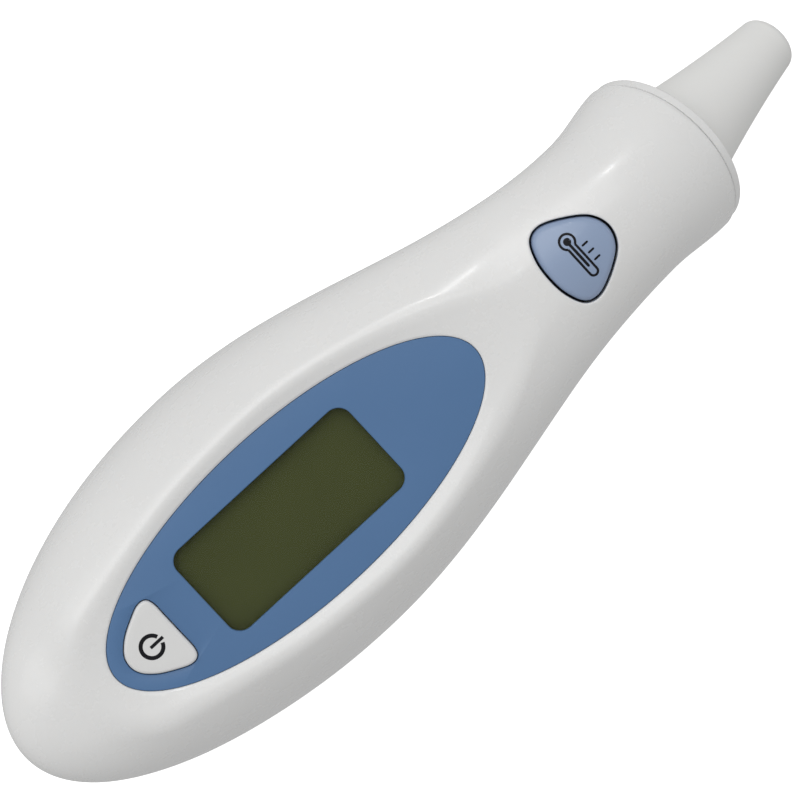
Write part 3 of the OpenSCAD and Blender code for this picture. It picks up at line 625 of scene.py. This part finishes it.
def round_over(radius, steps=5):
    """Steps of (outwards, depth) of a rounded lip, which leaves the surface at an angle."""
    turns = [math.pi / 3 * k / steps for k in range(steps + 1)]
    lip = [(radius * (1 - math.cos(a)), radius * (1 - math.sin(a))) for a in turns]
    return lip + [(radius * 1.2, -radius * 0.27)]


def flared(name, loop, low, level, radius, spot_x=0.0, high=4.0, under=()):
    """A cutter whose wall rounds over into the surface at level."""
    rings = [*under, at_height(loop, low)]
    for out, deep in round_over(radius):
        ring = offset_loop(loop, out)
        rings.append([(x, y, (level(x + spot_x, y) if callable(level) else level) - deep) for x, y in ring])
    rings.append(at_height(ring, high))
    return loft(name, rings, spot=(spot_x, 0, 0))


TEST_LOOP = smooth_loop(TEST_HALF)
POWER_LOOP = smooth_loop(POWER_HALF)
# The panel lies in a pocket with this play. The ledge under it is this wide along and across.
PANEL_PLAY, LEDGE_L, LEDGE_W, POWER_ROOM = 0.06, 1.8, 1.2, 1.1
PANEL_LIP, TEST_LIP, POWER_LIP, THROUGH = 0.25, 0.3, 0.12, 5
opening = oval_loop(PANEL_A - LEDGE_L, PANEL_B - LEDGE_W)
cut(
    front,
    together(
        flared(
            "pocket", oval_loop(PANEL_A + PANEL_PLAY, PANEL_B + PANEL_PLAY), POCKET_Z, 0.0, PANEL_LIP, high=6,
            under=(at_height(opening, POCKET_Z - THROUGH), at_height(opening, POCKET_Z)),
        ),
        flared("test_opening", TEST_LOOP, -8, skin_height, TEST_LIP, TEST_X, high=6),
    ),
    prism("power_room", offset_loop(POWER_LOOP, POWER_ROOM), POCKET_Z - THROUGH, POCKET_Z + 1, POWER_SPOT),
)
smooth(front)
dress(front, "shell", "handle", "front_shell")


def rear_angles(us, count=84):
    """For each station, angles from the parting line round the back."""
    made = []
    for u in us:
        row = edge_angles(u, 180 + PART_ANGLE)
        start = row[-1]
        row += [mix(start, 270, i / count) for i in range(1, count + 1)]
        made.append(row + [540 - v for v in reversed(row[:-1])])
    return made


def back_height(x, y):
    return skin_height(x, y, front=False)


BELOW = -38.0
POST_R, POST_TOP, SCREW_WELL_R, SCREW_SEAT, SCREW_HOLE_R, SCREW_HOLE_TOP = 2.9, -12, 2.15, -16, 1.25, -11
WELL_WALL_R, WELL_ROOF, WELL_TOP, COVER_RING_R, COVER_RING_TOP = CELL_R + 1.45, -26, -27.2, 12.9, -30
COVER_PLAY, CELL_PLAY, COVER_LIP = 0.15, 0.25, 0.15


def raised(r, spot=(CELL_X, 0), count=128):
    """A ring that follows the back inside the wall."""
    return [(x, y, back_height(spot[0] + x, spot[1] + y) + WALL / 2) for x, y in round_loop(r, count)]


def sleeve(name, p):
    return loft(name, [raised(POST_R, p, 64), at_height(round_loop(POST_R, 64), POST_TOP)], spot=(*p, 0))


rear = shell_mesh("shell_rear", rear_angles(front_us))
cover_ring = round_loop(COVER_RING_R)
join(
    rear,
    together(
        loft("cover_ring", [raised(COVER_RING_R), at_height(cover_ring, COVER_RING_TOP)], CELL_SPOT),
        *[sleeve(f"post_{i}", p) for i, p in enumerate(CASE_HOLES)],
    ),
    prism("cell_wall", round_loop(WELL_WALL_R), -31, WELL_ROOF, CELL_SPOT),
)


def flared_down(name, loop, top, level, radius, spot, low=BELOW, over=()):
    """The same rounding for a hole that opens on the back."""
    rings = [*over, at_height(loop, top)]
    for out, deep in round_over(radius):
        rings.append([(x, y, level(x + spot[0], y + spot[1]) + deep) for x, y in offset_loop(loop, out)])
    rings.append(at_height(offset_loop(loop, out), low))
    return loft(name, rings, spot=spot)


well = round_loop(CELL_R + CELL_PLAY)
cut(
    rear,
    together(
        flared_down(
            "cover_recess", round_loop(COVER_R + COVER_PLAY), COVER_TOP, back_height, COVER_LIP, CELL_SPOT,
            over=(at_height(well, WELL_TOP), at_height(well, COVER_TOP)),
        ),
        *[
            prism(f"screw_well_{i}", round_loop(SCREW_WELL_R, 64), BELOW, SCREW_SEAT, (*p, 0))
            for i, p in enumerate(CASE_HOLES)
        ],
    ),
    together(
        prism("contact_hole", block_loop(3.4, 3.4), WELL_TOP - 1, WELL_ROOF + 1, CELL_SPOT),
        *[
            prism(f"tab_slot_{k}", block_loop(1.2, 3.6), -32, -29.4, (CELL_X + k * TAB_AT, 0, 0))
            for k in (-1, 1)
        ],
        *[
            prism(f"screw_hole_{i}", round_loop(SCREW_HOLE_R, 32), SCREW_SEAT - 0.5, SCREW_HOLE_TOP, (*p, 0))
            for i, p in enumerate(CASE_HOLES)
        ],
    ),
)
smooth(rear)
dress(rear, "shell", "handle", "rear_shell")

# ------------------------------------------------------------------ battery cover
COVER_EDGE, COVER_BEVEL = 0.18, 0.1
TAB_T, TAB_W, TAB_TOP = 0.8, 3, -29.7
PIN_R, PIN_IN, NOTCH_L, NOTCH_W, NOTCH_Z = 0.6, 3, 1.4, 5, -31.9
rings = []
for f in [i / 40 for i in range(1, 40)]:
    rings.append([(x, y, back_height(CELL_X + x, y)) for x, y in round_loop(f * (COVER_R - COVER_EDGE))])
for a in quarter(6):
    ring = round_loop(COVER_R - COVER_EDGE + COVER_EDGE * math.sin(a))
    rings.append([(x, y, back_height(CELL_X + x, y) + COVER_EDGE * (1 - math.cos(a))) for x, y in ring])
rings.append(at_height(round_loop(COVER_R), COVER_TOP - COVER_BEVEL))
rings.append(at_height(round_loop(COVER_R - COVER_BEVEL), COVER_TOP))
cover = loft("cover_back", rings, CELL_SPOT)
tab_loop = plate_loop(TAB_T, TAB_W, 0.2, 4)
join(
    cover,
    *[
        prism(f"tab_{s}", tab_loop, COVER_TOP - 0.3, TAB_TOP, (CELL_X + s * TAB_AT, 0, 0)) for s in (-1, 1)
    ],
)
cut(
    cover,
    prism("pin_hole", round_loop(PIN_R, 48), BELOW, COVER_RING_TOP, (CELL_X - COVER_R + PIN_IN, 0, 0)),
    prism("notch", plate_loop(NOTCH_L, NOTCH_W, 0.4, 6), BELOW, NOTCH_Z, (CELL_X - COVER_R, 0, 0)),
)
smooth(cover)
dress(cover, "cover", "cover", "battery_cover")

# ------------------------------------------------------------------ head cap and probe
HEAD = Matrix.Translation((RIM_X, 0, RIM_Z)) @ Matrix.Rotation(math.radians(90 + HEAD_TILT), 4, "Y")
PROBE_OFF = -1.2
PROBE = HEAD @ Matrix.Translation((PROBE_OFF, 0, 0))
CAP_R, CAP_FROM, CAP_ROOF, CAP_FACE, CAP_ROUND = RIM_R - 0.25, 0.15, 0.55, 1.55, 0.4
CAP_BORE_R, CAP_SKIRT_R, CAP_SKIRT_Z, CAP_EDGE, PROBE_PLAY = 10.75, 11.1, -2, 0.08, 0.12
TIP_H, TIP_ROUND, TIP_BORE_R, TIP_BEVEL, FILM_SEAT, FILM_R, PROBE_WALL = 1.6, 1.4, 2.6, 0.06, 0.7, 3, 1
FOOT_Z, FOOT_TOP, FOOT_OUT, NECK_OUT, FOOT_IN = -1, 0.25, 0.65, 0.03, 1.3


def probe_r(h):
    """Radius of the probe at height h above the head's rim."""
    k = (PROBE_L - TIP_H - h) / (PROBE_L - TIP_H - CAP_FACE)
    return TIP_R + (PROBE_BASE_R - TIP_R) * (0.72 * k + 0.28 * k * k)


cap_profile = [(0, CAP_ROOF), (CAP_BORE_R, CAP_ROOF), (CAP_BORE_R, CAP_SKIRT_Z)]
cap_profile += [(CAP_SKIRT_R, CAP_SKIRT_Z), (CAP_SKIRT_R, CAP_FROM)]
cap_profile += [(CAP_R - CAP_EDGE, CAP_FROM), (CAP_R, CAP_FROM + CAP_EDGE)]
cap_profile += [
    (CAP_R - CAP_ROUND * (1 - math.cos(a)), CAP_FACE - CAP_ROUND * (1 - math.sin(a)))
    for a in quarter(8)
]
cap_profile.append((0, CAP_FACE))
cap = lathe("cap_head", cap_profile, HEAD, 160)
cut(cap, lathe("cap_hole", [(PROBE_BASE_R + PROBE_PLAY, -1), (PROBE_BASE_R + PROBE_PLAY, 4)], PROBE))
smooth(cap)
dress(cap, "cap", "handle", "head_cap")

cone = [(PROBE_BASE_R + FOOT_OUT, FOOT_Z), (PROBE_BASE_R + FOOT_OUT, FOOT_TOP)]
cone += [(PROBE_BASE_R + NECK_OUT, FOOT_TOP)]
cone += [(probe_r(h), h) for h in [mix(CAP_FACE, PROBE_L - TIP_H, i / 40) for i in range(41)]]
cone += [
    (TIP_R - TIP_ROUND * (1 - math.cos(a)), PROBE_L - TIP_H + TIP_H * math.sin(a))
    for a in quarter(12, 1)
]
cone += [(TIP_BORE_R + TIP_BEVEL, PROBE_L), (TIP_BORE_R, PROBE_L - TIP_BEVEL)]
cone += [(TIP_BORE_R, PROBE_L - FILM_SEAT), (FILM_R, PROBE_L - FILM_SEAT)]
cone += [(probe_r(h) - PROBE_WALL, h) for h in [mix(PROBE_L - TIP_H - 1, 2, i / 20) for i in range(21)]]
cone += [(PROBE_BASE_R - FOOT_IN, FOOT_Z)]
probe = lathe("probe_skin", cone, PROBE, 160, closed=True)
smooth(probe)
dress(probe, "probe", "handle", "probe_cone")

# ------------------------------------------------------------------ display panel
PANEL_EDGE, CHAMFER = 0.12, 0.12
rings = [at_height(oval_loop(PANEL_A, PANEL_B), POCKET_Z)]
for a in quarter(5):
    loop = oval_loop(PANEL_A - PANEL_EDGE * (1 - math.cos(a)), PANEL_B - PANEL_EDGE * (1 - math.cos(a)))
    rings.append(at_height(loop, PANEL_TOP - PANEL_EDGE * (1 - math.sin(a))))
panel = loft("panel_blue", rings)
WINDOW_SPOT = (WINDOW_X, 0, 0)
window = plate_loop(WINDOW_L, WINDOW_W, WINDOW_R)
wide = plate_loop(WINDOW_L + 2 * CHAMFER, WINDOW_W + 2 * CHAMFER, WINDOW_R + CHAMFER)
LENS_PLAY = 0.1
lens_room = plate_loop(
    WINDOW_L + LENS_GROW + LENS_PLAY, WINDOW_W + LENS_GROW + LENS_PLAY, WINDOW_R + LENS_GROW / 2
)
cut(
    panel,
    loft(
        "window",
        [
            at_height(window, POCKET_Z - 1),
            at_height(window, PANEL_TOP - CHAMFER),
            at_height(wide, PANEL_TOP),
            at_height(wide, PANEL_TOP + 1),
        ],
        spot=WINDOW_SPOT,
    ),
    prism("lens_room", lens_room, -3, LENS_TOP, WINDOW_SPOT),
    flared("power_opening", offset_loop(POWER_LOOP, POWER_GAP), -3, PANEL_TOP, POWER_LIP, POWER_X, high=1),
)
smooth(panel)
dress(panel, "panel", "handle", "display_panel")


# ------------------------------------------------------------------ buttons
def dome_z(x, y):
    """Height of the test key's top, which curves less along the neck than across it."""
    arm = DOME_LONG_R - DOME_CROSS_R
    return DOME_TOP - DOME_LONG_R + math.sqrt((arm + math.sqrt(DOME_CROSS_R**2 - y * y)) ** 2 - x * x)


KEY_EDGE, KEY_SKIRT_Z, KEY_FLANGE_Z, KEY_ROOF = 0.7, -6.1, -6.9, -3.4
FLANGE_OUT, KEY_WALL, STEM_R, STEM_Z = 0.6, 1.2, 1.3, -5
key_outer = offset_loop(TEST_LOOP, -TEST_GAP)
key_inner = offset_loop(key_outer, -KEY_EDGE)
rings = [[(f * x, f * y, dome_z(f * x, f * y)) for x, y in key_inner] for f in [i / 24 for i in range(1, 25)]]
for a in quarter(8, 1):
    ring = offset_loop(key_inner, KEY_EDGE * math.sin(a))
    rings.append([(x, y, dome_z(x, y) - KEY_EDGE * (1 - math.cos(a))) for x, y in ring])
flange = offset_loop(key_outer, FLANGE_OUT)
hollow = offset_loop(key_outer, -KEY_WALL)
rings += [at_height(key_outer, KEY_SKIRT_Z), at_height(flange, KEY_SKIRT_Z), at_height(flange, KEY_FLANGE_Z)]
rings += [at_height(hollow, KEY_FLANGE_Z), at_height(hollow, KEY_ROOF)]
key = loft("key_test", rings, TEST_SPOT)
join(key, prism("stem", round_loop(STEM_R, 48), STEM_Z, KEY_ROOF + 0.1, TEST_SPOT))
smooth(key)
dress(key, "test_button", "test_key", "test_button")

POWER_EDGE, POWER_SKIRT_Z, POWER_FLANGE_Z = 0.45, -1.9, -2.7
inner = offset_loop(POWER_LOOP, -POWER_EDGE)
rings = [at_height([(f * x, f * y) for x, y in inner], POWER_TOP) for f in (0.25, 0.5, 0.75, 1)]
for a in quarter(6, 1):
    ring = offset_loop(inner, POWER_EDGE * math.sin(a))
    rings.append(at_height(ring, POWER_TOP - POWER_EDGE * (1 - math.cos(a))))
flange = offset_loop(POWER_LOOP, FLANGE_OUT)
turns = [math.atan2(y, x) for x, y in POWER_LOOP]
stem = [(STEM_R * math.cos(a), STEM_R * math.sin(a)) for a in turns]
rings += [at_height(POWER_LOOP, POWER_SKIRT_Z), at_height(flange, POWER_SKIRT_Z)]
rings += [at_height(flange, POWER_FLANGE_Z), at_height(stem, POWER_FLANGE_Z), at_height(stem, STEM_Z)]
power = loft("key_power", rings, POWER_SPOT)
smooth(power)
dress(power, "power_button", "power_key", "power_button")


# ------------------------------------------------------------------ printed marks
def stroke(points, width, caps=True):
    """Verts and faces of a flat band along points, with round ends."""
    verts, faces = [], []
    n = len(points)
    for i, (x, y) in enumerate(points):
        a, b = points[max(i - 1, 0)], points[min(i + 1, n - 1)]
        tx, ty = b[0] - a[0], b[1] - a[1]
        k = math.hypot(tx, ty)
        nx, ny = -ty / k * width / 2, tx / k * width / 2
        verts += [(x + nx, y + ny), (x - nx, y - ny)]
    faces += [(2 * i, 2 * i + 1, 2 * i + 3, 2 * i + 2) for i in range(n - 1)]
    if caps:
        for end, near, first in ((points[0], points[1], 0), (points[-1], points[-2], 2 * (n - 1))):
            back = math.atan2(end[1] - near[1], end[0] - near[0])
            start = len(verts)
            verts += [
                (end[0] + width / 2 * math.cos(back + t), end[1] + width / 2 * math.sin(back + t))
                for t in [math.pi / 2 - math.pi * k / 8 for k in range(1, 8)]
            ]
            pair = (first, first + 1) if end is points[0] else (first + 1, first)
            faces.append((pair[0], *range(start, start + 7), pair[1]))
    return verts, faces


def slab(name, strokes, level, spot, thick=0.025):
    """The strokes as thin closed slabs that lie on level."""
    verts, faces = [], []
    for vs, fs in strokes:
        count, base = len(vs), len(verts)
        verts += [(x, y, level(x, y) + thick) for x, y in vs] + [(x, y, level(x, y) - thick) for x, y in vs]
        seen = {}
        for f in fs:
            faces.append(tuple(base + i for i in f))
            faces.append(tuple(base + count + i for i in reversed(f)))
            for i in range(len(f)):
                edge = tuple(sorted((f[i - 1], f[i])))
                seen[edge] = seen.get(edge, 0) + 1
        for (a, b), times in seen.items():
            if times == 1:
                faces.append((base + a, base + b, base + count + b, base + count + a))
    return mesh_object(name, verts, faces, spot)


def arc(x, y, r, start, end, count=48):
    turns = [math.radians(mix(start, end, i / count)) for i in range(count + 1)]
    return [(x + r * math.cos(a), y + r * math.sin(a)) for a in turns]


def line(x0, y0, x1, y1, count=10):
    return [(mix(x0, x1, i / count), mix(y0, y1, i / count)) for i in range(count + 1)]


SIGN_X, RING_R, RING_W, BAR_W = -0.55, 1.575, 0.57, 0.46
standby = slab(
    "mark_standby",
    [
        stroke(arc(SIGN_X, 0, RING_R, 20, 340), RING_W, caps=False),
        stroke(line(SIGN_X - 0.25, 0, SIGN_X + 2.05, 0), BAR_W, caps=False),
    ],
    lambda x, y: POWER_TOP,
    POWER_SPOT,
)
dress(standby, "power_button", "power_key", material=INK)

BAND, TICK, BULB_Y, TUBE_R, TUBE_END = 0.34, 0.3, 2.4, 0.62, -3.1
pictogram = slab(
    "mark_thermometer",
    [
        stroke(arc(0, BULB_Y, 1.1, -56, 236, 40), BAND, caps=False),
        *[stroke(line(x, 1.5, x, TUBE_END, 24), BAND, caps=False) for x in (-TUBE_R, TUBE_R)],
        stroke(arc(0, TUBE_END, TUBE_R, 180, 360, 20), BAND, caps=False),
        stroke(line(0, 1.9, 0, -2.0, 24), 0.4),
        stroke(arc(0, BULB_Y, 0.28, 0, 360, 24), 0.56, caps=False),
        *[stroke(line(1.25, y, 2.05, y, 4), TICK) for y in (0.6, -0.7, -2.0)],
    ],
    dome_z,
    TEST_SPOT,
)
dress(pictogram, "test_button", "test_key", material=INK)

# ------------------------------------------------------------------ floor, light and camera
floor_mat = bpy.data.materials.new("floor_pale")
floor_mat.use_nodes = True
floor_shader = floor_mat.node_tree.nodes["Principled BSDF"]
floor_shader.inputs["Base Color"].default_value = (0.95, 0.95, 0.95, 1)
floor_shader.inputs["Roughness"].default_value = 0.9
floor_shader.inputs["Emission Color"].default_value = (1, 1, 1, 1)
floor_shader.inputs["Emission Strength"].default_value = 0.7
floor_mesh = bpy.data.meshes.new("floor")
floor_mesh.from_pydata([(-2, -2, 0), (2, -2, 0), (2, 2, 0), (-2, 2, 0)], [], [(0, 1, 2, 3)])
floor = bpy.data.objects.new("floor", floor_mesh)
floor.location.z = -0.0001
floor_mesh.materials.append(floor_mat)
bpy.context.scene.collection.objects.link(floor)
floor.visible_diffuse, floor.visible_glossy = False, False

VIEW = Vector((0.015, 0.136, 0))
VIEW.z = math.sqrt(1 - VIEW.x**2 - VIEW.y**2)
ROLL, DISTANCE, AIM = math.radians(42.6), 0.9, Vector((DISPLAY_X + 21.27, 1.87, DISPLAY_Z)) * MM
along = (Vector((1, 0, 0)) - VIEW * VIEW.x).normalized()
across = VIEW.cross(along)
right = along * math.cos(ROLL) - across * math.sin(ROLL)
up = along * math.sin(ROLL) + across * math.cos(ROLL)
camera = bpy.data.objects.new("camera", bpy.data.cameras.new("camera"))
bpy.context.scene.collection.objects.link(camera)
camera.data.sensor_width = 36.0
camera.data.sensor_fit = "HORIZONTAL"
camera.data.lens = 293.27
camera.data.clip_start, camera.data.clip_end = 0.01, 20.0
camera.matrix_world = Matrix.Translation(AIM + VIEW * DISTANCE) @ Matrix(
    ((right.x, up.x, VIEW.x), (right.y, up.y, VIEW.y), (right.z, up.z, VIEW.z))
).to_4x4()
bpy.context.scene.camera = camera


def lamp(name, place, size, watts, aim=(0.0, 0.0, 0.015)):
    light = bpy.data.lights.new(name, "AREA")
    light.energy, light.size = watts, size
    obj = bpy.data.objects.new(name, light)
    bpy.context.scene.collection.objects.link(obj)
    obj.location = place
    obj.rotation_euler = (Vector(aim) - Vector(place)).to_track_quat("-Z", "Y").to_euler()


lamp("key", (-0.25, 0.75, 0.75), 1.0, 2.8)
lamp("top", (0.0, 0.7, 1.2), 1.0, 3.6)
lamp("fill", (0.97, -0.2, 0.12), 0.6, 0.8)
lamp("sparkle", (0.35, 0.68, 0.66), 0.05, 0.42)
lamp("glint", (0.13, 0.265, 0.99), 0.05, 0.11)
world = bpy.data.worlds.new("world")
world.use_nodes = True
world.node_tree.nodes["Background"].inputs["Color"].default_value = (1, 1, 1, 1)
world.node_tree.nodes["Background"].inputs["Strength"].default_value = 0.505
bpy.context.scene.world = world
bpy.context.scene.view_settings.view_transform = "Standard"
